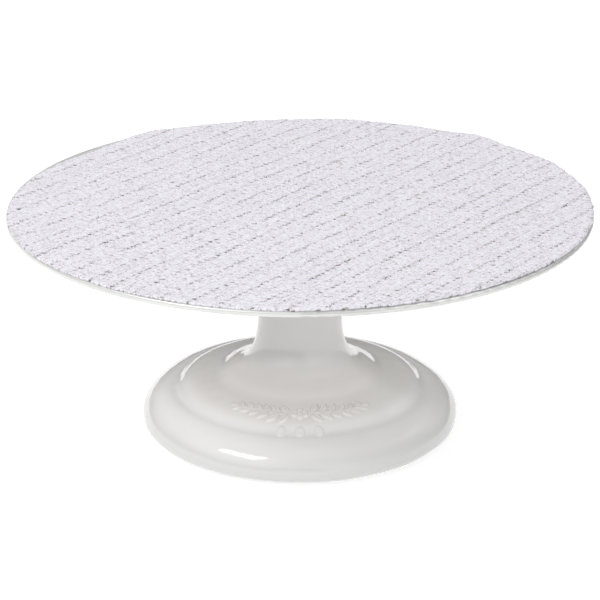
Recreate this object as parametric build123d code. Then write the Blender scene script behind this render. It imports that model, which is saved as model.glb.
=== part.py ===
import math
import os

from build123d import *

os.makedirs("parts", exist_ok=True)

# ---------------------------------------------------------------- driving sizes, mm
TOTAL_H = 125.0          # floor to the top of the pad
PAD_T = 1.6              # non-slip pad thickness
PAD_R = 151.4            # pad radius
PLATE_R = 152.4          # plate radius, a 12 inch plate
PLATE_T = 3.0            # plate thickness
PLATE_EDGE = 1.25        # rounding of the plate's edge

FOOT_LIFT = 1.2          # how far the rubber feet hold the casting off the floor
NECK_R = 22.5            # outside radius of the neck
NECK_TOP = 104.0         # height of the neck's mouth

BRG_ID_R = 6.0           # bearing bore radius (12 mm shaft)
BRG_OD_R = 16.0          # bearing outside radius (32 mm)
BRG_W = 10.0             # bearing width
BALL_R = 2.95            # ball radius
BALL_N = 7               # balls in each bearing
BALL_PITCH_R = 11.0      # radius of the ball circle
GROOVE_R = 3.0           # raceway groove radius
LOWER_Z = 50.0           # lower face of the lower bearing
UPPER_Z = 90.0           # lower face of the upper bearing
SHOULDER_R = 13.0        # relieved bore between the two bearing seats

COLLAR_R = 8.5           # spindle collar radius
COLLAR_TOP = 105.3       # top of the collar, where the hub sits
THREAD_R = 4.95          # spindle's threaded end

HUB_FLANGE_R = 42.0
HUB_FLANGE_T = 6.0
HUB_BOSS_R = 20.5
SCREW_PCD = 60.0         # circle of the plate screws
FOOT_RING_R = 63.0       # circle of the rubber feet
FOOT_R = 7.5
FIT = 0.02               # radial gap of a close fit

PLATE_TOP = TOTAL_H - PAD_T
PLATE_BOT = PLATE_TOP - PLATE_T
HUB_FLANGE_BOT = PLATE_BOT - HUB_FLANGE_T


def tube(r_in, r_out, z0, z1):
    """Plain ring between two heights."""
    ring = Cylinder(r_out, z1 - z0, align=(Align.CENTER, Align.CENTER, Align.MIN))
    ring -= Cylinder(r_in, z1 - z0 + 2, align=(Align.CENTER, Align.CENTER, Align.MIN)).moved(Location((0, 0, -1)))
    return ring.moved(Location((0, 0, z0)))


def rod(r, z0, z1, x=0.0, y=0.0):
    return Cylinder(r, z1 - z0, align=(Align.CENTER, Align.CENTER, Align.MIN)).moved(Location((x, y, z0)))


def turned(points):
    """Solid of revolution about Z from a closed outline of (r, z) points."""
    face = make_face(Polyline(*[(r, 0, z) for r, z in points], close=True))
    return revolve(face, Axis.Z, 360)


def hex_prism(across_flats, z0, z1):
    r = across_flats / 2 / math.cos(math.pi / 6)
    body = extrude(RegularPolygon(r, 6), z1 - z0)
    return body.moved(Location((0, 0, z0)))


def write(shape, name):
    export_step(shape, "parts/%s.step" % name)


def group(solids):
    return Compound(children=[s if isinstance(s, Solid) else s.solids()[0] for s in solids])


# ---------------------------------------------------------------- pedestal casting
# Outside of the pedestal from the foot's lower edge up to the neck: the rounded
# foot rim, a shallow crease, the wide mound, a second crease, the small mound and
# the flare into the neck.
outer = [
    (79.0, FOOT_LIFT),
    (82.3, 2.1),
    (84.3, 4.1),
    (84.7, 7.0),
    (84.0, 10.4),
    (82.0, 13.8),
    (78.8, 17.0),
    (74.2, 19.6),
    (69.8, 20.8),
    (66.7, 21.3),
    (64.4, 22.7),
    (62.0, 24.7),
    (58.8, 26.2),
    (53.5, 27.4),
    (48.0, 28.4),
    (44.8, 29.0),
    (42.2, 30.0),
    (39.6, 31.6),
    (36.6, 33.2),
    (33.2, 34.7),
    (30.2, 36.5),
    (27.6, 39.2),
    (25.7, 42.4),
    (24.2, 46.0),
    (23.3, 49.6),
    (22.75, 53.6),
    (NECK_R, 59.0),
]
# Inside of the casting's open underside, following the outside about 5 mm in.
inner = [
    (19.5, 47.4),
    (20.4, 42.6),
    (23.0, 37.0),
    (27.0, 32.4),
    (32.5, 29.4),
    (38.0, 26.8),
    (42.5, 24.4),
    (50.0, 23.0),
    (56.0, 21.6),
    (60.5, 19.0),
    (64.5, 16.7),
    (70.0, 15.0),
    (74.2, 11.4),
    (75.4, 7.0),
    (75.0, FOOT_LIFT),
]
with BuildPart() as casting_b:
    with BuildSketch(Plane.XZ):
        with BuildLine():
            Polyline(*outer)
            Line(outer[-1], (NECK_R, NECK_TOP - 1.0))
            Line((NECK_R, NECK_TOP - 1.0), (NECK_R - 1.0, NECK_TOP))
            Line((NECK_R - 1.0, NECK_TOP), (BRG_OD_R, NECK_TOP))
            Line((BRG_OD_R, NECK_TOP), (BRG_OD_R, UPPER_Z))
            Line((BRG_OD_R, UPPER_Z), (SHOULDER_R, UPPER_Z))
            Line((SHOULDER_R, UPPER_Z), (SHOULDER_R, LOWER_Z + BRG_W))
            Line((SHOULDER_R, LOWER_Z + BRG_W), (BRG_OD_R, LOWER_Z + BRG_W))
            Line((BRG_OD_R, LOWER_Z + BRG_W), (BRG_OD_R, LOWER_Z))
            Line((BRG_OD_R, LOWER_Z), (BRG_OD_R + 0.9, LOWER_Z))
            Line((BRG_OD_R + 0.9, LOWER_Z), (BRG_OD_R + 0.9, LOWER_Z - 1.3))
            Line((BRG_OD_R + 0.9, LOWER_Z - 1.3), (BRG_OD_R, LOWER_Z - 1.3))
            Line((BRG_OD_R, LOWER_Z - 1.3), (BRG_OD_R, inner[0][1]))
            Line((BRG_OD_R, inner[0][1]), inner[0])
            Polyline(*inner)
            Line(inner[-1], outer[0])
        make_face()
    revolve(axis=Axis.Z)
casting = casting_b.part
# four cast bosses under the foot rim, each drilled for a foot screw
foot_xy = [
    (FOOT_RING_R * math.cos(math.radians(a)), FOOT_RING_R * math.sin(math.radians(a)))
    for a in (45, 135, 225, 315)
]
for x, y in foot_xy:
    casting += rod(8.2, 4.2, 18.5, x, y)
for x, y in foot_xy:
    casting -= rod(2.0, 3.0, 14.5, x, y)
write(casting, "base_casting")

# ---------------------------------------------------------------- feet
feet, foot_screws = [], []
for x, y in foot_xy:
    foot = rod(FOOT_R, 0.0, 4.18, x, y)
    foot -= rod(4.4, -1.0, 1.8, x, y)
    foot -= rod(2.2, -1.0, 6.0, x, y)
    foot = foot.solids()[0]
    low = [e for e in foot.edges() if e.geom_type == GeomType.CIRCLE and abs(e.center().Z) < 1e-6 and e.radius > FOOT_R - 0.1]
    feet.append(fillet(low, 0.6))
    screw = rod(3.9, 0.5, 1.78, x, y) + rod(1.98, 1.0, 13.0, x, y)
    drive = extrude(RegularPolygon(1.25 / math.cos(math.pi / 6), 6), 1.0).moved(Location((x, y, 0.4)))
    foot_screws.append(screw - drive)
write(group(feet), "foot_pads")
write(group(foot_screws), "foot_screws")


# ---------------------------------------------------------------- ball bearings
def bearing(z0, name):
    zc = z0 + BRG_W / 2
    lo, hi = z0 + 0.01, z0 + BRG_W - 0.01
    race = Torus(BALL_PITCH_R, GROOVE_R).moved(Location((0, 0, zc)))
    c = 0.6
    outer_ring = turned([
        (13.3, lo), (BRG_OD_R - FIT - c, lo), (BRG_OD_R - FIT, lo + c),
        (BRG_OD_R - FIT, hi - c), (BRG_OD_R - FIT - c, hi), (13.3, hi),
    ]) - race
    inner_ring = turned([
        (BRG_ID_R + FIT + 0.4, lo), (8.7, lo), (8.7, hi), (BRG_ID_R + FIT + 0.4, hi),
        (BRG_ID_R + FIT, hi - 0.4), (BRG_ID_R + FIT, lo + 0.4),
    ]) - race
    spots = [
        (BALL_PITCH_R * math.cos(2 * math.pi * i / BALL_N), BALL_PITCH_R * math.sin(2 * math.pi * i / BALL_N))
        for i in range(BALL_N)
    ]
    balls = [Sphere(BALL_R).moved(Location((x, y, zc))) for x, y in spots]
    cage = tube(10.25, 11.75, zc - 3.75, zc + 3.75)
    for i in range(BALL_N):
        pocket = Cylinder(BALL_R + 0.06, 6.0, align=(Align.CENTER, Align.CENTER, Align.MIN))
        cage -= pocket.rotate(Axis.Y, 90).moved(Location((8.0, 0, 0))).rotate(Axis.Z, 360.0 * i / BALL_N).moved(Location((0, 0, zc)))
    shields = [tube(9.0, 13.28, zc - 4.8, zc - 4.4), tube(9.0, 13.28, zc + 4.4, zc + 4.8)]
    write(outer_ring, name + "_outer_ring")
    write(inner_ring, name + "_inner_ring")
    write(group(balls), name + "_balls")
    write(cage, name + "_cage")
    write(group(shields), name + "_shields")


bearing(LOWER_Z, "lower")
bearing(UPPER_Z, "upper")

write(tube(BRG_ID_R + FIT + 0.03, 7.9, LOWER_Z + BRG_W, UPPER_Z), "spacer_tube")

# internal snap ring in the casting's groove below the lower bearing
snap = tube(13.9, BRG_OD_R + 0.86, LOWER_Z - 1.26, LOWER_Z - 0.04)
snap -= Box(7.0, 8.0, 4.0).moved(Location((0, 15.0, LOWER_Z - 0.6)))
for sx in (-1, 1):
    ear = rod(1.9, LOWER_Z - 1.26, LOWER_Z - 0.04, sx * 5.4, 13.4)
    ear -= rod(0.8, LOWER_Z - 2.0, LOWER_Z + 1.0, sx * 5.4, 13.4)
    snap += ear
for sx in (-1, 1):
    snap -= rod(0.8, LOWER_Z - 2.0, LOWER_Z + 1.0, sx * 5.4, 13.4)
write(snap, "retaining_ring")

# felt ring in the mouth of the neck
write(tube(COLLAR_R + 0.35, BRG_OD_R - 0.02, UPPER_Z + BRG_W + 0.6, NECK_TOP - 0.6), "dust_seal")

# ---------------------------------------------------------------- spindle and its hardware
spindle = turned([
    (0, 41.0), (THREAD_R - 0.8, 41.0), (THREAD_R, 41.8), (THREAD_R, LOWER_Z + 0.4),
    (BRG_ID_R, LOWER_Z + 0.4), (BRG_ID_R, UPPER_Z + BRG_W), (COLLAR_R, UPPER_Z + BRG_W),
    (COLLAR_R, COLLAR_TOP), (BRG_ID_R, COLLAR_TOP), (BRG_ID_R, PLATE_BOT - 1.2),
    (BRG_ID_R - 0.8, PLATE_BOT - 0.4), (0, PLATE_BOT - 0.4),
])
# flat for the hub's set screw
spindle -= Box(2.0, 9.0, 7.0).moved(Location((BRG_ID_R + 0.3, 0, 109.0)))
write(spindle, "spindle")

write(tube(THREAD_R + 0.15, 8.8, LOWER_Z - 1.6, LOWER_Z), "thrust_washer")

nut_hex = hex_prism(16.0, 42.6, LOWER_Z - 1.62)
nut_cone = turned([(0, 42.6), (7.6, 42.6), (9.6, 43.8), (9.6, LOWER_Z - 1.62), (0, LOWER_Z - 1.62)])
nut = (nut_hex & nut_cone) - rod(THREAD_R + 0.02, 40.0, 60.0)
write(nut, "lock_nut")

# ---------------------------------------------------------------- hub under the plate
hub = turned([
    (BRG_ID_R + FIT, COLLAR_TOP), (HUB_BOSS_R - 0.8, COLLAR_TOP), (HUB_BOSS_R, COLLAR_TOP + 0.8),
    (HUB_BOSS_R + 0.3, 111.6), (HUB_BOSS_R + 1.6, 113.2), (HUB_BOSS_R + 4.0, 114.1),
    (HUB_BOSS_R + 7.0, HUB_FLANGE_BOT), (HUB_FLANGE_R - 0.8, HUB_FLANGE_BOT), (HUB_FLANGE_R, HUB_FLANGE_BOT + 0.8),
    (HUB_FLANGE_R, PLATE_BOT), (BRG_ID_R + FIT, PLATE_BOT),
])
screw_xy = [
    (SCREW_PCD / 2 * math.cos(math.radians(a)), SCREW_PCD / 2 * math.sin(math.radians(a)))
    for a in (45, 135, 225, 315)
]
for x, y in screw_xy:
    hub -= rod(2.5, HUB_FLANGE_BOT - 1, PLATE_BOT + 1, x, y)
set_bore = Cylinder(2.5, 20.0, align=(Align.CENTER, Align.CENTER, Align.MIN)).rotate(Axis.Y, 90).moved(Location((3.5, 0, 109.0)))
hub -= set_bore
write(hub, "plate_hub")

set_screw = Cylinder(2.46, 9.0, align=(Align.CENTER, Align.CENTER, Align.MIN)).rotate(Axis.Y, 90).moved(Location((5.4, 0, 109.0)))
set_hex = extrude(RegularPolygon(1.25 / math.cos(math.pi / 6), 6), 3.0).rotate(Axis.Y, 90).moved(Location((11.6, 0, 109.0)))
set_screw -= set_hex
write(set_screw, "hub_set_screw")

# ---------------------------------------------------------------- plate, its screws and the pad
with BuildPart() as plate_b:
    with BuildSketch(Plane.XZ):
        with BuildLine():
            e = PLATE_EDGE
            Line((0, PLATE_BOT), (PLATE_R - e, PLATE_BOT))
            ThreePointArc(
                (PLATE_R - e, PLATE_BOT),
                (PLATE_R - e * (1 - math.sin(math.pi / 4)), PLATE_BOT + e * (1 - math.cos(math.pi / 4))),
                (PLATE_R, PLATE_BOT + e),
            )
            Line((PLATE_R, PLATE_BOT + e), (PLATE_R, PLATE_TOP - e))
            ThreePointArc(
                (PLATE_R, PLATE_TOP - e),
                (PLATE_R - e * (1 - math.cos(math.pi / 4)), PLATE_TOP - e * (1 - math.sin(math.pi / 4))),
                (PLATE_R - e, PLATE_TOP),
            )
            Line((PLATE_R - e, PLATE_TOP), (0, PLATE_TOP))
            Line((0, PLATE_TOP), (0, PLATE_BOT))
        make_face()
    revolve(axis=Axis.Z)
plate = plate_b.part
plate_screws = []
for x, y in screw_xy:
    plate -= rod(2.7, PLATE_BOT - 1, PLATE_TOP + 1, x, y)
    sink = Cone(2.7, 5.0, 2.3, align=(Align.CENTER, Align.CENTER, Align.MIN)).moved(Location((x, y, PLATE_TOP - 2.3)))
    plate -= sink
    head = Cone(2.45, 4.75, 2.3, align=(Align.CENTER, Align.CENTER, Align.MIN)).moved(Location((x, y, PLATE_TOP - 2.4)))
    screw = head + rod(2.46, HUB_FLANGE_BOT + 0.3, PLATE_TOP - 2.3, x, y)
    drive = extrude(RegularPolygon(1.5 / math.cos(math.pi / 6), 6), 2.0).moved(Location((x, y, PLATE_TOP - 1.6)))
    plate_screws.append(screw - drive)
write(plate, "turntable_plate")
write(group(plate_screws), "plate_screws")
write(rod(PAD_R, PLATE_TOP, TOTAL_H), "non_slip_pad")
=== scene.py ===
import math

import bpy
import numpy as np
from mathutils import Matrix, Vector


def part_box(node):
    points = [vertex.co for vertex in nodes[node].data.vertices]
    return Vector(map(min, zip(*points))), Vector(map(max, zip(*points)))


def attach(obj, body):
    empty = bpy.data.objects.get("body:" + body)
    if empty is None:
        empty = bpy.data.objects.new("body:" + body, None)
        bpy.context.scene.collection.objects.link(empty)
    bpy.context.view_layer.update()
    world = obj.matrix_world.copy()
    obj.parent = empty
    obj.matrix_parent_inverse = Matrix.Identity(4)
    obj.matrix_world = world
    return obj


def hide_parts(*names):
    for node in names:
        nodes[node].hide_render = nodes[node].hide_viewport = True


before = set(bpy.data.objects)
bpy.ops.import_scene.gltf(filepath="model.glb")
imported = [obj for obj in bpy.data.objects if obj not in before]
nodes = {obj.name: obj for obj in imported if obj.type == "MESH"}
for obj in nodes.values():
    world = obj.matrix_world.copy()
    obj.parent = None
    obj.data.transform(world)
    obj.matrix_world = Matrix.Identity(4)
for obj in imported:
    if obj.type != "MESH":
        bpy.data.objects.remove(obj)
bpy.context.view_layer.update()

MM = 0.001


# ------------------------------------------------------------------ helpers
def waves(p, lam, count, seed):
    """Smooth irregular field over points p, with wavelengths near lam, about unit size."""
    g = np.random.default_rng(seed)
    k = g.normal(size=(count, p.shape[1]))
    k /= np.linalg.norm(k, axis=1)[:, None]
    k *= (2 * math.pi / lam) * g.uniform(0.65, 1.5, size=(count, 1))
    ph = g.uniform(0, 2 * math.pi, count)
    out = np.zeros(len(p))
    for i in range(count):
        out += np.sin(p @ k[i] + ph[i])
    return out / math.sqrt(count / 2)


def mesh_object(name, verts, faces, smooth=True, sharp=None):
    """Mesh from arrays: verts in millimetres, faces as one array or a list of arrays of equal-sided faces."""
    me = bpy.data.meshes.new(name)
    verts = np.asarray(verts, float) * MM
    groups = [np.asarray(f, np.int64) for f in (faces if isinstance(faces, list) else [faces]) if len(f)]
    loops = np.concatenate([f.ravel() for f in groups])
    sizes = np.concatenate([np.full(len(f), f.shape[1]) for f in groups])
    me.vertices.add(len(verts))
    me.vertices.foreach_set("co", verts.ravel())
    me.loops.add(len(loops))
    me.loops.foreach_set("vertex_index", loops.astype(np.int32))
    me.polygons.add(len(sizes))
    me.polygons.foreach_set("loop_start", np.concatenate([[0], np.cumsum(sizes)[:-1]]).astype(np.int32))
    me.update(calc_edges=True)
    me.validate()
    me.polygons.foreach_set("use_smooth", np.full(len(me.polygons), smooth))
    if sharp is not None:
        ev = np.zeros(len(me.edges) * 2, np.int32)
        me.edges.foreach_get("vertices", ev)
        ev = ev.reshape(-1, 2)
        me.edges.foreach_set("use_edge_sharp", sharp(ev[:, 0], ev[:, 1]))
    me.update()
    ob = bpy.data.objects.new(name, me)
    bpy.context.scene.collection.objects.link(ob)
    return ob


def spline(points, step):
    """Natural cubic spline through points, as a polyline with about this step."""
    p = np.asarray(points, float)
    t = np.concatenate([[0], np.cumsum(np.hypot(*np.diff(p, axis=0).T))])
    n, h = len(p), np.diff(t)
    a = np.zeros((n, n))
    b = np.zeros((n, 2))
    a[0, 0] = a[-1, -1] = 1
    for i in range(1, n - 1):
        a[i, i - 1], a[i, i], a[i, i + 1] = h[i - 1], 2 * (h[i - 1] + h[i]), h[i]
        b[i] = 6 * ((p[i + 1] - p[i]) / h[i] - (p[i] - p[i - 1]) / h[i - 1])
    m = np.linalg.solve(a, b)
    q = np.linspace(0, t[-1], max(2, int(round(t[-1] / step)) + 1))
    i = np.clip(np.searchsorted(t, q, side="right") - 1, 0, n - 2)
    u, v = (q - t[i])[:, None], (t[i + 1] - q)[:, None]
    hh = h[i][:, None]
    return (
        m[i] * v**3 / (6 * hh)
        + m[i + 1] * u**3 / (6 * hh)
        + (p[i] / hh - m[i] * hh / 6) * v
        + (p[i + 1] / hh - m[i + 1] * hh / 6) * u
    )


# ------------------------------------------------------------------ materials
def new_material(name):
    m = bpy.data.materials.new(name)
    m.use_nodes = True
    nt = m.node_tree
    nt.nodes.clear()
    out = nt.nodes.new("ShaderNodeOutputMaterial")
    bs = nt.nodes.new("ShaderNodeBsdfPrincipled")
    nt.links.new(bs.outputs[0], out.inputs[0])
    co = nt.nodes.new("ShaderNodeTexCoord")
    return m, nt, bs, co.outputs["Object"]


def noise(nt, co, scale, detail=3.0, rough=0.5):
    n = nt.nodes.new("ShaderNodeTexNoise")
    n.inputs["Scale"].default_value = scale
    n.inputs["Detail"].default_value = detail
    n.inputs["Roughness"].default_value = rough
    nt.links.new(co, n.inputs["Vector"])
    return n.outputs["Fac"]


def ramp(nt, fac, stops):
    r = nt.nodes.new("ShaderNodeValToRGB")
    els = r.color_ramp.elements
    while len(els) > 1:
        els.remove(els[-1])
    els[0].position = stops[0][0]
    els[0].color = (*stops[0][1], 1)
    for pos, col in stops[1:]:
        e = els.new(pos)
        e.color = (*col, 1)
    nt.links.new(fac, r.inputs["Fac"])
    return r.outputs["Color"]


def span(nt, fac, lo, hi, a=0.0, b=1.0):
    r = nt.nodes.new("ShaderNodeMapRange")
    r.inputs["From Min"].default_value = a
    r.inputs["From Max"].default_value = b
    r.inputs["To Min"].default_value = lo
    r.inputs["To Max"].default_value = hi
    nt.links.new(fac, r.inputs["Value"])
    return r.outputs["Result"]


def math_node(nt, op, a, b=None):
    n = nt.nodes.new("ShaderNodeMath")
    n.operation = op
    for i, v in enumerate((a, b)):
        if v is None:
            continue
        if isinstance(v, (int, float)):
            n.inputs[i].default_value = v
        else:
            nt.links.new(v, n.inputs[i])
    return n.outputs[0]


def bump(nt, bs, height, distance, strength=1.0):
    b = nt.nodes.new("ShaderNodeBump")
    b.inputs["Strength"].default_value = strength
    b.inputs["Distance"].default_value = distance
    nt.links.new(height, b.inputs["Height"])
    nt.links.new(b.outputs["Normal"], bs.inputs["Normal"])


def radius_of(nt, co):
    """Distance from the Z axis, in metres."""
    s = nt.nodes.new("ShaderNodeSeparateXYZ")
    nt.links.new(co, s.inputs[0])
    c = nt.nodes.new("ShaderNodeCombineXYZ")
    nt.links.new(s.outputs[0], c.inputs[0])
    nt.links.new(s.outputs[1], c.inputs[1])
    ln = nt.nodes.new("ShaderNodeVectorMath")
    ln.operation = "LENGTH"
    nt.links.new(c.outputs[0], ln.inputs[0])
    return ln.outputs["Value"]


def metal(name, dark, light, rough, scale=60.0, turned=None, bump_mm=0.004):
    """Metal with mottled tone. turned gives the pitch in metres of turning marks round the Z axis."""
    m, nt, bs, co = new_material(name)
    bs.inputs["Metallic"].default_value = 1.0
    n = noise(nt, co, scale, 4.0, 0.6)
    nt.links.new(ramp(nt, n, [(0.3, dark), (0.7, light)]), bs.inputs["Base Color"])
    nt.links.new(span(nt, noise(nt, co, scale * 2.3, 3.0), rough * 0.8, rough * 1.25, 0.3, 0.7), bs.inputs["Roughness"])
    if turned:
        r = math_node(nt, "MULTIPLY", radius_of(nt, co), 1.0 / turned)
        c = nt.nodes.new("ShaderNodeCombineXYZ")
        nt.links.new(r, c.inputs[0])
        h = noise(nt, c.outputs[0], 1.0, 3.0, 0.7)
        bump(nt, bs, h, bump_mm * MM)
    else:
        bump(nt, bs, noise(nt, co, scale * 12, 2.0), bump_mm * MM)
    return m


def set_material(ob, m):
    ob.data.materials.clear()
    ob.data.materials.append(m)


# glossy enamel over cast iron
enamel, nt, bs, co = new_material("enamel")
# painted shade and light by height: the low rim and the neck under the plate are painted darker, the mounds lighter and
# a little creamier
parts = nt.nodes.new("ShaderNodeSeparateXYZ")
nt.links.new(co, parts.inputs[0])
painted_shade_by_height = ramp(
    nt,
    span(nt, parts.outputs[2], 0.0, 1.0, 0.0, 0.12),
    [
        (0.02, (0.632, 0.632, 0.630)), (0.100, (0.694, 0.691, 0.689)), (0.170, (0.900, 0.889, 0.882)),
        (0.220, (0.920, 0.890, 0.871)), (0.290, (0.918, 0.885, 0.864)), (0.345, (0.770, 0.752, 0.740)),
        (0.400, (0.672, 0.661, 0.661)), (0.960, (0.630, 0.619, 0.626)),
    ],
)
tone = nt.nodes.new("ShaderNodeMix")
tone.data_type = "RGBA"
tone.blend_type = "MULTIPLY"
tone.inputs["Factor"].default_value = 1.0
nt.links.new(painted_shade_by_height, tone.inputs["A"])
nt.links.new(ramp(nt, noise(nt, co, 9.0, 3.0, 0.5), [(0.30, (0.965, 0.960, 0.955)), (0.70, (1.0, 1.0, 1.0))]), tone.inputs["B"])
nt.links.new(tone.outputs["Result"], bs.inputs["Base Color"])
nt.links.new(span(nt, noise(nt, co, 24.0, 3.0), 0.05, 0.12, 0.3, 0.7), bs.inputs["Roughness"])
bs.inputs["IOR"].default_value = 1.5
bs.inputs["Coat Weight"].default_value = 0.35
bs.inputs["Coat Roughness"].default_value = 0.04
bump(nt, bs, noise(nt, co, 210.0, 2.0, 0.45), 0.012 * MM)

# satin plate, with turning marks round the axis
plate_metal = metal("plate_aluminium", (0.60, 0.605, 0.60), (0.665, 0.665, 0.66), 0.36, 30.0, turned=0.0006, bump_mm=0.006)
# satin anodised: half its look is diffuse; the edge is painted brighter than the underside, a painted reflection of the
# bright surroundings
nt = plate_metal.node_tree
bs = next(n for n in nt.nodes if n.type == "BSDF_PRINCIPLED")
bs.inputs["Metallic"].default_value = 0.5
co = nt.nodes.new("ShaderNodeTexCoord").outputs["Object"]
under = bs.inputs["Base Color"].links[0].from_socket
edge_painted_reflection = ramp(nt, noise(nt, co, 40.0, 3.0), [(0.3, (0.70, 0.705, 0.688)), (0.7, (0.76, 0.765, 0.748))])
tone = nt.nodes.new("ShaderNodeMix")
tone.data_type = "RGBA"
nt.links.new(span(nt, radius_of(nt, co), 0.0, 1.0, 0.1440, 0.1455), tone.inputs["Factor"])
nt.links.new(under, tone.inputs["A"])
nt.links.new(edge_painted_reflection, tone.inputs["B"])
nt.links.new(tone.outputs["Result"], bs.inputs["Base Color"])
hub_metal = metal("cast_aluminium", (0.52, 0.53, 0.54), (0.66, 0.67, 0.68), 0.42, 45.0, bump_mm=0.03)
turned_steel = metal("machined_steel", (0.36, 0.37, 0.38), (0.50, 0.51, 0.52), 0.28, 80.0)
bearing_steel = metal("bearing_steel", (0.46, 0.47, 0.48), (0.58, 0.59, 0.60), 0.18, 90.0, turned=0.0004, bump_mm=0.002)
ball_steel = metal("ball_steel", (0.60, 0.61, 0.62), (0.70, 0.71, 0.72), 0.07, 120.0, bump_mm=0.001)
cage_steel = metal("cage_steel", (0.44, 0.40, 0.32), (0.56, 0.52, 0.43), 0.33, 100.0)
shield_steel = metal("shield_steel", (0.50, 0.51, 0.52), (0.62, 0.63, 0.64), 0.25, 80.0, turned=0.0005)
zinc = metal("zinc_steel", (0.50, 0.52, 0.54), (0.66, 0.67, 0.68), 0.30, 150.0)
spring_steel = metal("spring_steel", (0.045, 0.045, 0.05), (0.10, 0.10, 0.11), 0.42, 140.0)
black_steel = metal("black_steel", (0.03, 0.03, 0.032), (0.07, 0.07, 0.075), 0.38, 160.0)

felt, nt, bs, co = new_material("felt")
nt.links.new(ramp(nt, noise(nt, co, 900.0, 4.0, 0.7), [(0.3, (0.12, 0.11, 0.10)), (0.7, (0.24, 0.22, 0.20))]), bs.inputs["Base Color"])
bs.inputs["Roughness"].default_value = 0.95
bs.inputs["Sheen Weight"].default_value = 0.4
bump(nt, bs, noise(nt, co, 1600.0, 3.0, 0.7), 0.15 * MM)

rubber, nt, bs, co = new_material("foot_rubber")
nt.links.new(ramp(nt, noise(nt, co, 180.0, 4.0, 0.6), [(0.3, (0.018, 0.018, 0.019)), (0.75, (0.040, 0.040, 0.041))]), bs.inputs["Base Color"])
nt.links.new(span(nt, noise(nt, co, 400.0, 3.0), 0.55, 0.75, 0.3, 0.7), bs.inputs["Roughness"])
bump(nt, bs, noise(nt, co, 1500.0, 2.0), 0.03 * MM)

for names, m in (
    (("turntable_plate",), plate_metal),
    (("plate_hub",), hub_metal),
    (("spindle", "spacer_tube"), turned_steel),
    (("upper_outer_ring", "upper_inner_ring", "lower_outer_ring", "lower_inner_ring"), bearing_steel),
    (("upper_balls", "lower_balls"), ball_steel),
    (("upper_cage", "lower_cage"), cage_steel),
    (("upper_shields", "lower_shields"), shield_steel),
    (("foot_screws", "plate_screws", "thrust_washer", "lock_nut"), zinc),
    (("retaining_ring",), spring_steel),
    (("hub_set_screw",), black_steel),
    (("dust_seal",), felt),
    (("foot_pads",), rubber),
):
    for name in names:
        set_material(nodes[name], m)

# ------------------------------------------------------------------ enamelled pedestal
base_lo, base_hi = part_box("base_casting")
LIFT = base_lo.z / MM
NECK_TOP = base_hi.z / MM
NECK_R = 22.5
outer = [
    (79.0, LIFT), (82.3, 2.1), (84.3, 4.1), (84.7, 7.0), (84.0, 10.4), (82.0, 13.8), (78.8, 17.0),
    (74.2, 19.6), (69.8, 20.8), (66.7, 21.3), (64.4, 22.7), (62.0, 24.7), (58.8, 26.2), (53.5, 27.4),
    (48.0, 28.4), (44.8, 29.0), (42.2, 30.0), (39.6, 31.6), (36.6, 33.2), (33.2, 34.7), (30.2, 36.5),
    (27.6, 39.2), (25.7, 42.4), (24.2, 46.0), (23.3, 49.6), (22.75, 53.6), (NECK_R, 59.0),
]
inner = [
    (19.5, 47.4), (20.4, 42.6), (23.0, 37.0), (27.0, 32.4), (32.5, 29.4), (38.0, 26.8), (42.5, 24.4),
    (50.0, 23.0), (56.0, 21.6), (60.5, 19.0), (64.5, 16.7), (70.0, 15.0), (74.2, 11.4), (75.4, 7.0),
    (75.0, LIFT),
]


def line(a, b, n):
    return [(a[0] + (b[0] - a[0]) * i / n, a[1] + (b[1] - a[1]) * i / n) for i in range(n + 1)]


runs = [spline(outer, 0.36)]
runs.append(line((NECK_R, 59.0), (NECK_R, NECK_TOP - 1.2), 14))
arc = [(NECK_R - 1.2 + 1.2 * math.cos(a), NECK_TOP - 1.2 + 1.2 * math.sin(a)) for a in np.linspace(0, math.pi / 2, 6)]
runs.append(arc)
runs += [
    line((NECK_R - 1.2, NECK_TOP), (16.4, NECK_TOP), 3),
    line((16.4, NECK_TOP), (16.0, NECK_TOP - 0.4), 1),
    line((16.0, NECK_TOP - 0.4), (16.0, 90.0), 4),
    line((16.0, 90.0), (13.0, 90.0), 1),
    line((13.0, 90.0), (13.0, 60.0), 6),
    line((13.0, 60.0), (16.0, 60.0), 1),
    line((16.0, 60.0), (16.0, 50.0), 2),
    line((16.0, 50.0), (16.9, 50.0), 1),
    line((16.9, 50.0), (16.9, 48.7), 1),
    line((16.9, 48.7), (16.0, 48.7), 1),
    line((16.0, 48.7), (16.0, 47.4), 1),
    line((16.0, 47.4), (19.5, 47.4), 1),
    spline(inner, 1.6),
    line((75.0, LIFT), (79.0, LIFT), 3),
]
# chain the runs, noting where two runs meet at a corner
prof, corner = [], []
for k, r in enumerate(runs):
    r = np.asarray(r, float)
    start = 0 if not prof else 1
    if prof:
        corner.append(len(prof) - 1)
    prof += [tuple(q) for q in r[start:]]
prof = prof[:-1]
corner.append(0)
soft_joins = {corner[0], corner[1], corner[2]}
sharp_rings = set(corner) - soft_joins
prof = np.array(prof)

front = np.arange(-138.0, -42.0, 0.25)
rest = np.arange(-42.0, 222.0, 1.2)
phi = np.radians(np.concatenate([front, rest]))
nr, na = len(prof), len(phi)
R = np.repeat(prof[:, 0][:, None], na, 1)
Z = np.repeat(prof[:, 1][:, None], na, 1)
# outward normal of the profile
tan = np.roll(prof, -1, axis=0) - np.roll(prof, 1, axis=0)
tan /= np.linalg.norm(tan, axis=1)[:, None]
nrm = np.stack([tan[:, 1], -tan[:, 0]], 1)
n_outer = len(runs[0]) + len(runs[1]) - 1
seen = np.zeros(nr)
seen[:n_outer] = 1.0
seen[:4] = [0.0, 0.3, 0.6, 0.8]
seen[n_outer - 4 : n_outer] = [0.8, 0.5, 0.2, 0.0]
PH = np.repeat(phi[None], nr, 0)
pts = np.stack([(R * np.cos(PH)).ravel(), (R * np.sin(PH)).ravel(), Z.ravel()], 1)
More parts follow.
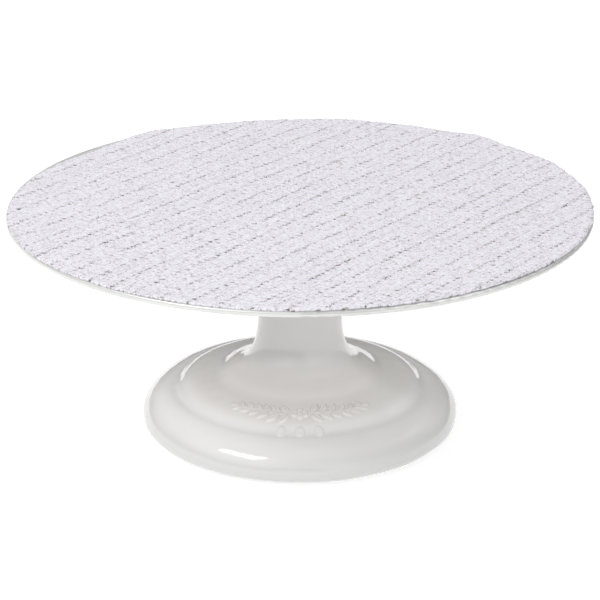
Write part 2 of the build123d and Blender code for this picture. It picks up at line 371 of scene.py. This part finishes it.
# thick enamel never lies quite even over the casting
uneven = 0.075 * waves(pts, 34.0, 14, 5) + 0.018 * waves(pts, 11.0, 18, 6)
disp = uneven.reshape(nr, na) * seen[:, None]

# plain cast ornament on the front of the wide mound: a leafy spray either side of a rosette, three beads under it
psi = (PH + math.pi / 2 + math.pi) % (2 * math.pi) - math.pi
relief = np.zeros((nr, na))
SPRAY_R = 54.0
sx, sy = psi * SPRAY_R, R - SPRAY_R


def soft(v):
    """0 outside, 1 well inside, with a rounded edge."""
    return np.clip(v, 0, 1) ** 0.5


def raise_to(h):
    np.maximum(relief, h, out=relief)


raise_to(0.62 * soft(2.2 * (1 - np.abs(sy + 0.6 * np.sin(sx / 5.2)) / 0.85)) * (np.abs(sx) < 34.5) * (np.abs(sx) > 4.2))
for side in (-1, 1):
    for i in range(6):
        bx, by = side * (5.4 + 5.1 * i), -0.6 * math.sin(side * (5.4 + 5.1 * i) / 5.2)
        for way in (-1, 1):
            lean = math.radians(56 - 3.0 * i) * way
            length = 9.0 - 0.55 * i
            dx, dy = side * math.cos(lean), math.sin(lean)
            along = (sx - bx) * dx + (sy - by) * dy
            over = -(sx - bx) * dy + (sy - by) * dx
            t_leaf = (along - length / 2) / (length / 2)
            v = 1 - t_leaf**2 - np.abs(over) / (0.21 * length)
            leaf = 1.00 * soft(2.4 * v) - 0.45 * np.exp(-((over / 0.36) ** 2)) * np.clip(3 * v, 0, 1)
            raise_to(leaf * (v > 0))
    tip = 1 - np.hypot((sx - side * 36.4) / 2.6, sy / 1.5)
    raise_to(0.70 * soft(2.4 * tip))
for k in range(6):
    a = math.radians(60 * k + 30)
    raise_to(0.95 * soft(2.4 * (1 - np.hypot(sx - 2.9 * math.cos(a), sy - 2.9 * math.sin(a)) / 1.75)))
raise_to(1.15 * soft(2.0 * (1 - np.hypot(sx, sy) / 1.5)))
for i in (-1, 0, 1):
    x = (psi - math.radians(8.6 * i)) * 65.5
    y = R - 65.5
    raise_to(0.95 * soft(2.0 * (1 - np.hypot(x / 2.5, y / 3.0))))
relief[n_outer:] = 0
relief[Z < 20.0] = 0
relief = np.minimum(relief, 1.15)
disp = disp + relief
R2 = R + disp * nrm[:, 0][:, None]
Z2 = Z + disp * nrm[:, 1][:, None]
verts = np.stack([(R2 * np.cos(PH)).ravel(), (R2 * np.sin(PH)).ravel(), Z2.ravel()], 1)
i, j = np.meshgrid(np.arange(nr), np.arange(na), indexing="ij")
i2, j2 = (i + 1) % nr, (j + 1) % na
faces = np.stack([i * na + j, i * na + j2, i2 * na + j2, i2 * na + j], -1).reshape(-1, 4)
ring_of = lambda v: v // na
extra_v, extra_f, base_n = [], [], len(verts)
# bosses for the feet, flaring into the roof of the hollow
FOOT_RING, seg = 63.0, 40
roof_r, roof_z = np.array(inner).T
boss_prof = [(0.02, 14.0), (1.0, 14.0), (2.0, 13.6), (2.0, 4.7), (2.5, 4.2), (7.6, 4.2), (8.2, 4.8), (8.25, 9.0), (8.35, 12.0)]
for a in (45, 135, 225, 315):
    cx, cy = FOOT_RING * math.cos(math.radians(a)), FOOT_RING * math.sin(math.radians(a))
    start = base_n + len(extra_v)
    for r, z in boss_prof:
        for k in range(seg):
            t = 2 * math.pi * k / seg
            extra_v.append((cx + r * math.cos(t), cy + r * math.sin(t), z))
    for r, w in ((8.7, 0.55), (9.4, 0.85), (10.4, 1.0), (11.2, 1.0)):
        for k in range(seg):
            t = 2 * math.pi * k / seg
            vx, vy = cx + r * math.cos(t), cy + r * math.sin(t)
            top_z = np.interp(math.hypot(vx, vy), roof_r, roof_z) + (0.0 if r < 10.8 else 1.2)
            extra_v.append((vx, vy, 12.0 + (max(top_z, 12.4) - 12.0) * w))
    for q in range(len(boss_prof) + 3):
        for k in range(seg):
            k2 = (k + 1) % seg
            extra_f.append((start + q * seg + k, start + q * seg + k2, start + (q + 1) * seg + k2, start + (q + 1) * seg + k))
verts = np.vstack([verts, np.array(extra_v)])
faces = np.vstack([faces, np.array(extra_f)])


def base_sharp(a, b):
    ra, rb = a // na, b // na
    ok = (a < base_n) & (b < base_n) & (ra == rb)
    return ok & np.isin(ra, sorted(sharp_rings))


base = mesh_object("pedestal_enamel", verts, faces, sharp=base_sharp)
set_material(base, enamel)
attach(base, "base")
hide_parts("base_casting")

# ------------------------------------------------------------------ non-slip pad
pad_lo, pad_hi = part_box("non_slip_pad")
PAD_BOT, PAD_TOP = pad_lo.z / MM + 0.02, pad_hi.z / MM
ROW, ALONG = 13.85, 4.207          # spacing of the open rows, and of the holes along a row
TH = math.radians(53.2)
ds, dt = ALONG / 6, ROW / 20
SHEAR = 0.0311
outline = [
    (0, 152.4), (5, 152.7), (10, 152.8), (15, 153.0), (20, 153.1), (25, 154.1), (30, 153.1), (35, 152.5),
    (40, 151.7), (45, 153.8), (50, 155.8), (55, 151.3), (60, 150.8), (65, 150.6), (70, 150.9), (75, 150.6),
    (80, 151.7), (85, 150.1), (90, 149.6), (95, 149.1), (100, 149.6), (105, 148.4), (110, 148.9), (115, 148.3),
    (120, 150.2), (125, 152.1), (130, 149.9), (135, 146.9), (140, 145.9), (145, 145.5), (150, 146.2), (155, 147.4),
    (160, 148.5), (165, 149.8), (170, 150.0), (175, 150.4), (180, 151.0), (185, 151.5), (190, 152.1), (200, 152.5),
    (215, 152.3), (230, 152.0), (250, 151.8), (270, 151.6), (290, 151.3), (310, 151.1), (330, 151.2), (345, 151.7),
    (360, 152.4),
]
o_deg, o_r = np.array(outline, float).T


def edge_radius(ang):
    """Hand-cut outline: the slow shape, plus the lumps where the cut passes through the foam's knots."""
    deg = np.degrees(ang) % 360
    r = np.interp(deg, o_deg, o_r)
    p = np.stack([np.cos(ang) * 151.0, np.sin(ang) * 151.0], 1)
    return r + 0.15 * waves(p, 4.6, 16, 21) + 0.12 * waves(p, 11.0, 12, 22)


NI, NJ = int(162 / ds), int(162 / dt)
I, J = np.meshgrid(np.arange(-NI, NI + 1), np.arange(-NJ, NJ + 1), indexing="ij")
S0, T0 = I * ds, J * dt
alpha, tau = S0 / ALONG, T0 / ROW - 0.175
g = np.random.default_rng(7)
HALF = 200
lat = np.stack(np.meshgrid(np.arange(-HALF, HALF) * ALONG, np.arange(-HALF, HALF) * ROW, indexing="ij"), -1).reshape(-1, 2)


def patchy(lam_s, lam_t, seed):
    """Slow field over the cells of the pattern, longer along the rows than across them."""
    return waves(lat / np.array([lam_s, lam_t]), 1.0, 24, seed).reshape(2 * HALF, 2 * HALF)


def cell_of(da, dtau, off_a, off_t):
    """Each grid point's nearest spot of one kind: cell indices and millimetres from the spot's centre."""
    m = np.round(alpha - da).astype(int)
    k = np.round(tau - dtau).astype(int)
    xa = (alpha - da - m - off_a[m + HALF, k + HALF]) * ALONG
    xt = (tau - dtau - k - off_t[m + HALF, k + HALF]) * ROW
    return m + HALF, k + HALF, xa, xt


# pits of one 4.2 by 13.85 mm unit: (along, across, half-length along, across, depth, spread of depth, patchiness)
pits = [
    (0.00, 0.000, 0.58, 0.90, 0.72, 0.36, 0.26),
    (0.25, 0.062, 0.46, 0.64, 0.46, 0.36, 0.18),
    (0.50, -0.02, 0.46, 0.62, 0.22, 0.22, 0.12),
    (0.73, 0.523, 0.60, 0.82, 0.17, 0.13, 0.07),
    (0.22, 0.500, 0.55, 0.70, 0.12, 0.12, 0.05),
    (0.22, 0.300, 0.55, 0.75, 0.12, 0.12, 0.05),
]
depth = np.zeros(I.shape)
main_amp = None
for q, (da, dtau, la, lt, dep, spread, patch) in enumerate(pits):
    amp = g.normal(dep, spread, size=(2 * HALF, 2 * HALF)) + patch * patchy(26.0, 22.0, 60 + q)
    amp = np.clip(amp, 0.08 * dep, 1.25)
    off_a = g.normal(0, 0.05, size=amp.shape)
    off_t = g.normal(0, 0.014, size=amp.shape)
    if q == 0:
        main_amp = amp
        off_a *= 0
        off_t *= 0
    m, k, xa, xt = cell_of(da, dtau, off_a, off_t)
    depth += amp[m, k] * np.exp(-((xa / la) ** 2) - (xt / lt) ** 2)
# beads of foam: two to a unit along the row and six across it, every other row set half a bead along
bead = np.zeros(I.shape)
for row in range(6):
    for col in range(2):
        high = np.clip(g.normal(0.26, 0.085, size=(2 * HALF, 2 * HALF)), 0.03, 0.5)
        off_a = g.normal(0, 0.075, size=high.shape)
        off_t = g.normal(0, 0.020, size=high.shape)
        da = (col + 0.5 * (row % 2) + 0.5) / 2
        dtau = (row + 0.5) / 6
        m, k, xa, xt = cell_of(da, dtau, off_a, off_t)
        bead = np.maximum(bead, high[m, k] * np.exp(-((xa / 0.98) ** 2) - (xt / 1.0) ** 2))
xy0 = np.stack([S0.ravel(), T0.ravel()], 1)
crumb = 0.062 * waves(xy0, 2.4, 26, 31) + 0.050 * waves(xy0, 1.7, 30, 32)
swell = 0.04 * waves(xy0, 24.0, 10, 33)
height = PAD_TOP - 0.36 + bead - depth + (crumb + swell).reshape(I.shape)
height = np.maximum(height, PAD_BOT + 0.30)

s = S0 - SHEAR * T0
t = T0.copy()
# open holes: two cells wide and one deep, opened out to an oval
hole_i, hole_j = [], []
for k in range(-12, 13):
    j0 = 20 * k + 3
    for m in range(-38, 39):
        amp = main_amp[m + HALF, k + HALF]
        if amp < 0.96:
            continue
        hole_i.append(6 * m)
        hole_j.append(j0)
hole_i, hole_j = np.array(hole_i), np.array(hole_j)
hx = (hole_i * ds - SHEAR * hole_j * dt) * math.cos(TH) + (hole_j + 0.5) * dt * math.sin(TH)
hy = (hole_i * ds - SHEAR * hole_j * dt) * math.sin(TH) - (hole_j + 0.5) * dt * math.cos(TH)
keep = np.hypot(hx, hy) < 142.0
hole_i, hole_j = hole_i[keep], hole_j[keep]
scale_h = g.uniform(0.82, 1.25, size=len(hole_i))
hole_edge = np.zeros(I.shape, bool)
for a, b, ox, oy in ((-1, 0, -0.56, -0.30), (0, 0, 0.0, -0.54), (1, 0, 0.56, -0.30), (1, 1, 0.56, 0.30), (0, 1, 0.0, 0.54), (-1, 1, -0.56, 0.30)):
    ii, jj = hole_i + a + NI, hole_j + b + NJ
    hole_edge[ii, jj] = True
    s[ii, jj] = (hole_i * ds - SHEAR * (hole_j + 0.5) * dt) + ox * scale_h
    t[ii, jj] = (hole_j + 0.5) * dt + oy * scale_h
x = s * math.cos(TH) + t * math.sin(TH)
y = s * math.sin(TH) - t * math.cos(TH)
flatxy = np.stack([x.ravel(), y.ravel()], 1)
wx = 0.42 * waves(flatxy, 75.0, 8, 41) + 0.09 * waves(flatxy, 14.0, 14, 42)
wy = 0.42 * waves(flatxy, 75.0, 8, 43) + 0.09 * waves(flatxy, 14.0, 14, 44)
x = x + wx.reshape(x.shape)
y = y + wy.reshape(y.shape)

rad = np.hypot(x, y)
ang = np.arctan2(y, x)
edge = edge_radius(ang.ravel()).reshape(x.shape)
inside = rad < edge - 0.05
cell = inside[:-1, :-1] & inside[1:, :-1] & inside[1:, 1:] & inside[:-1, 1:]
for _ in range(6):
    # no two cells of the outline may meet at a corner only
    p00, p10, p01, p11 = cell[:-1, :-1], cell[1:, :-1], cell[:-1, 1:], cell[1:, 1:]
    d1, d2 = p00 & p11 & ~p10 & ~p01, p10 & p01 & ~p00 & ~p11
    if not (d1.any() or d2.any()):
        break
    cell[1:, 1:] &= ~d1
    cell[1:, :-1] &= ~d2
full = cell.copy()
for a in (-1, 0):
    cell[hole_i + a + NI, hole_j + NJ] = False  # both cells of each open hole
H_, W_ = I.shape
vid = np.arange(H_ * W_).reshape(H_, W_)


def edge_pairs(c):
    """Directed boundary edges of the kept cells, each with the cell on its left."""
    cp = np.zeros((H_ + 1, W_ + 1), bool)
    cp[1:H_, 1:W_] = c
    out = []
    own = cp[1:H_, 1:W_]
    below, above = cp[1:H_, 0 : W_ - 1], cp[1:H_, 2 : W_ + 1]
    left, right = cp[0 : H_ - 1, 1:W_], cp[2 : H_ + 1, 1:W_]
    a, b, c_, d = vid[:-1, :-1], vid[1:, :-1], vid[1:, 1:], vid[:-1, 1:]
    for nb, p, q in ((below, a, b), (right, b, c_), (above, c_, d), (left, d, a)):
        e = own & ~nb
        out.append(np.stack([p[e], q[e]], 1))
    return np.concatenate(out)


rim = np.unique(edge_pairs(full))
xf, yf, zf = x.ravel().copy(), y.ravel().copy(), height.ravel().copy()
rf, af = np.hypot(xf[rim], yf[rim]), np.arctan2(yf[rim], xf[rim])
re = edge_radius(af)
xf[rim], yf[rim] = re * np.cos(af), re * np.sin(af)
zf[rim] -= 0.16
# the free edge lifts a little off the plate, most at the right front
rad2, ang2 = np.hypot(xf, yf), np.arctan2(yf, xf)
lift = np.clip((rad2 - 139.0) / 13.0, 0, 1) ** 2
p = np.stack([np.cos(ang2) * 150, np.sin(ang2) * 150], 1)
lift *= 0.16 + 0.42 * np.exp(-(((np.degrees(ang2) + 38) / 34) ** 2)) + 0.10 * waves(p, 60.0, 8, 51)
lift = np.maximum(lift, 0)
zf += lift
zb = np.full(len(zf), PAD_BOT) + lift

edges = edge_pairs(cell)
ca, cb, cc, cd = vid[:-1, :-1][cell], vid[1:, :-1][cell], vid[1:, 1:][cell], vid[:-1, 1:][cell]
used = np.unique(np.concatenate([ca, cb, cc, cd]))
top_id = np.full(H_ * W_, -1)
top_id[used] = np.arange(len(used))
n = len(used)
pv = np.vstack([np.stack([xf[used], yf[used], zf[used]], 1), np.stack([xf[used], yf[used], zb[used]], 1)])
# (i, j) runs clockwise seen from above, so the top faces take their corners in reverse
top = np.stack([top_id[ca], top_id[cd], top_id[cc], top_id[cb]], 1)
bot = np.stack([top_id[ca], top_id[cb], top_id[cc], top_id[cd]], 1) + n
e0, e1 = top_id[edges[:, 0]], top_id[edges[:, 1]]
wall = np.stack([e0, e1, e1 + n, e0 + n], 1)
pad = mesh_object("non_slip_pad_mesh", pv, np.vstack([top, bot, wall]))
# painted shade: this value grows with pit depth, in the valleys between beads and in low crumbs, and darkens the colour
# there
cut = (1.02 * depth + 1.35 * np.clip(0.24 - bead, 0, 0.24)).ravel()[used]
att = pad.data.attributes.new("painted_pit_shade", "FLOAT", "POINT")
cut = cut + 0.9 * np.clip(0.04 - crumb, 0, 0.2).ravel()[used]
# inside the holes and low on the cut edge the colour is darkened: painted shade of the hole walls and of the gap under
# the lifted edge
low = np.where(cut > 0.6, cut, 0.0)
on_rim = np.zeros(len(xf), bool)
on_rim[rim] = True
on_rim = on_rim[used]
edge_painted_shade = 0.30 + 0.20 * waves(np.stack([xf, yf], 1)[used], 3.4, 20, 52)
low = np.where(on_rim, np.clip(edge_painted_shade, 0.1, 1.1), low)
in_hole = hole_edge.ravel()[used]
cut = np.where(in_hole, 0.50, cut)
low = np.where(in_hole, 3.0, low)
att.data.foreach_set("value", np.concatenate([np.clip(cut, 0, 1.2), low]).astype(np.float32))

foam, nt, bs, co = new_material("pad_foam")
painted_pit_shade = nt.nodes.new("ShaderNodeAttribute")
painted_pit_shade.attribute_name = "painted_pit_shade"
speck = span(nt, noise(nt, co, 1450.0, 1.0, 0.5), 0.40, 1.55, 0.36, 0.64)
# the darkest stops are painted shade in the pits and holes
tone = ramp(
    nt,
    math_node(nt, "MULTIPLY", painted_pit_shade.outputs["Fac"], speck),
    [
        (0.0, (0.918, 0.911, 0.964)), (0.12, (0.872, 0.864, 0.921)), (0.30, (0.768, 0.753, 0.807)),
        (0.52, (0.520, 0.478, 0.488)), (0.80, (0.190, 0.150, 0.138)), (1.0, (0.085, 0.060, 0.052)),
    ],
)
mix = nt.nodes.new("ShaderNodeMix")
mix.data_type = "RGBA"
mix.blend_type = "MULTIPLY"
mix.inputs["Factor"].default_value = 1.0
nt.links.new(tone, mix.inputs["A"])
nt.links.new(ramp(nt, noise(nt, co, 760.0, 3.0, 0.65), [(0.34, (0.870, 0.865, 0.870)), (0.60, (1.0, 1.0, 1.0))]), mix.inputs["B"])
nt.links.new(mix.outputs["Result"], bs.inputs["Base Color"])
nt.links.new(span(nt, noise(nt, co, 260.0, 2.0), 0.62, 0.82, 0.3, 0.7), bs.inputs["Roughness"])
bs.inputs["Specular IOR Level"].default_value = 0.35
bump(nt, bs, noise(nt, co, 900.0, 3.0, 0.6), 0.16 * MM)
set_material(pad, foam)
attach(pad, "pad")
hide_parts("non_slip_pad")
aa = np.linspace(0, 2 * math.pi, 2881)[:-1]
cut_area = 0.5 * float((edge_radius(aa) ** 2).sum()) * (aa[1] - aa[0]) * 1e-6

# ------------------------------------------------------------------ floor, light, camera
floor_mat, nt, bs, co = new_material("floor_paper")
nt.links.new(ramp(nt, noise(nt, co, 2.0, 2.0), [(0.3, (0.64, 0.64, 0.64)), (0.7, (0.655, 0.655, 0.655))]), bs.inputs["Base Color"])
bs.inputs["Roughness"].default_value = 0.9
bs.inputs["Specular IOR Level"].default_value = 0.1
bs.inputs["Emission Color"].default_value = (1.0, 1.0, 1.0, 1)
bs.inputs["Emission Strength"].default_value = 0.55
fs = 6000.0
floor = mesh_object("floor", [(-fs, -fs, 0), (fs, -fs, 0), (fs, fs, 0), (-fs, fs, 0)], np.array([[0, 1, 2, 3]]), smooth=False)
set_material(floor, floor_mat)

world = bpy.data.worlds.new("studio")
world.use_nodes = True
bpy.context.scene.world = world
wn = world.node_tree
bg = wn.nodes["Background"]


def toward(az, el):
    """Direction at this bearing from the front (-Y), positive to the right, and this height."""
    a, e = math.radians(az), math.radians(el)
    return Vector((math.sin(a) * math.cos(e), -math.cos(a) * math.cos(e), math.sin(e)))


# broad soft panels all round, as smooth lobes of sky: (bearing, height, strength)
panels = [
    (30, 12, 1.1), (60, 12, 0.9), (90, 12, 0.5), (120, 12, 0.15), (-120, 12, 0.3), (-150, 12, 0.25), (180, 26, 0.25),
    (0, 32, 0.65), (30, 32, 0.75), (60, 32, 0.25), (120, 32, 0.28), (-30, 32, 1.5), (-60, 32, 1.25), (-90, 32, 0.7),
    (-120, 32, 0.45), (-150, 32, 0.5), (60, 55, 0.25), (90, 55, 0.3), (120, 55, 1.95), (150, 55, 1.45), (180, 55, 0.45),
    (-30, 55, 0.55), (-60, 55, 0.6), (-90, 55, 0.3), (0, 89, 0.4),
]
way = wn.nodes.new("ShaderNodeTexCoord").outputs["Generated"]
total = None
for az, el, power in panels:
    d = wn.nodes.new("ShaderNodeVectorMath")
    d.operation = "DOT_PRODUCT"
    d.inputs[1].default_value = toward(az, el)
    wn.links.new(way, d.inputs[0])
    lobe = math_node(wn, "POWER", math_node(wn, "MAXIMUM", d.outputs["Value"], 0.0), 24.0)
    lobe = math_node(wn, "MULTIPLY", lobe, power)
    total = lobe if total is None else math_node(wn, "ADD", total, lobe)
total = math_node(wn, "ADD", total, 0.15)
seen_white = wn.nodes.new("ShaderNodeLightPath").outputs["Is Camera Ray"]
level = wn.nodes.new("ShaderNodeMix")
level.data_type = "FLOAT"
wn.links.new(seen_white, level.inputs["Factor"])
wn.links.new(total, level.inputs["A"])
level.inputs["B"].default_value = 1.0
bg.inputs[0].default_value = (1.0, 1.0, 1.0, 1)
wn.links.new(level.outputs["Result"], bg.inputs[1])


def softbox(name, az, el, dist, size, power, target=(0, 0, 0.03)):
    d = bpy.data.lights.new(name, "AREA")
    d.shape = "RECTANGLE"
    d.size, d.size_y = size
    d.energy = power
    ob = bpy.data.objects.new(name, d)
    ob.location = Vector(target) + toward(az, el) * dist
    ob.rotation_mode = "QUATERNION"
    ob.rotation_quaternion = (-toward(az, el)).to_track_quat("-Z", "Y")
    bpy.context.scene.collection.objects.link(ob)
    return ob


softbox("key", -52, 47, 1.6, (0.78, 0.34), 5.5)

cam_d = bpy.data.cameras.new("camera")
cam_d.sensor_width = 36.0
cam_d.lens = 126.25
cam_d.clip_start, cam_d.clip_end = 0.05, 50.0
cam = bpy.data.objects.new("camera", cam_d)
cam.location = (0.0, -1.04105, 0.48026)
cam.rotation_euler = (math.radians(90 - 21.547), 0, 0)
bpy.context.scene.collection.objects.link(cam)
bpy.context.scene.camera = cam
bpy.context.scene.view_settings.view_transform = "Standard"
bpy.context.scene.view_settings.look = "None"
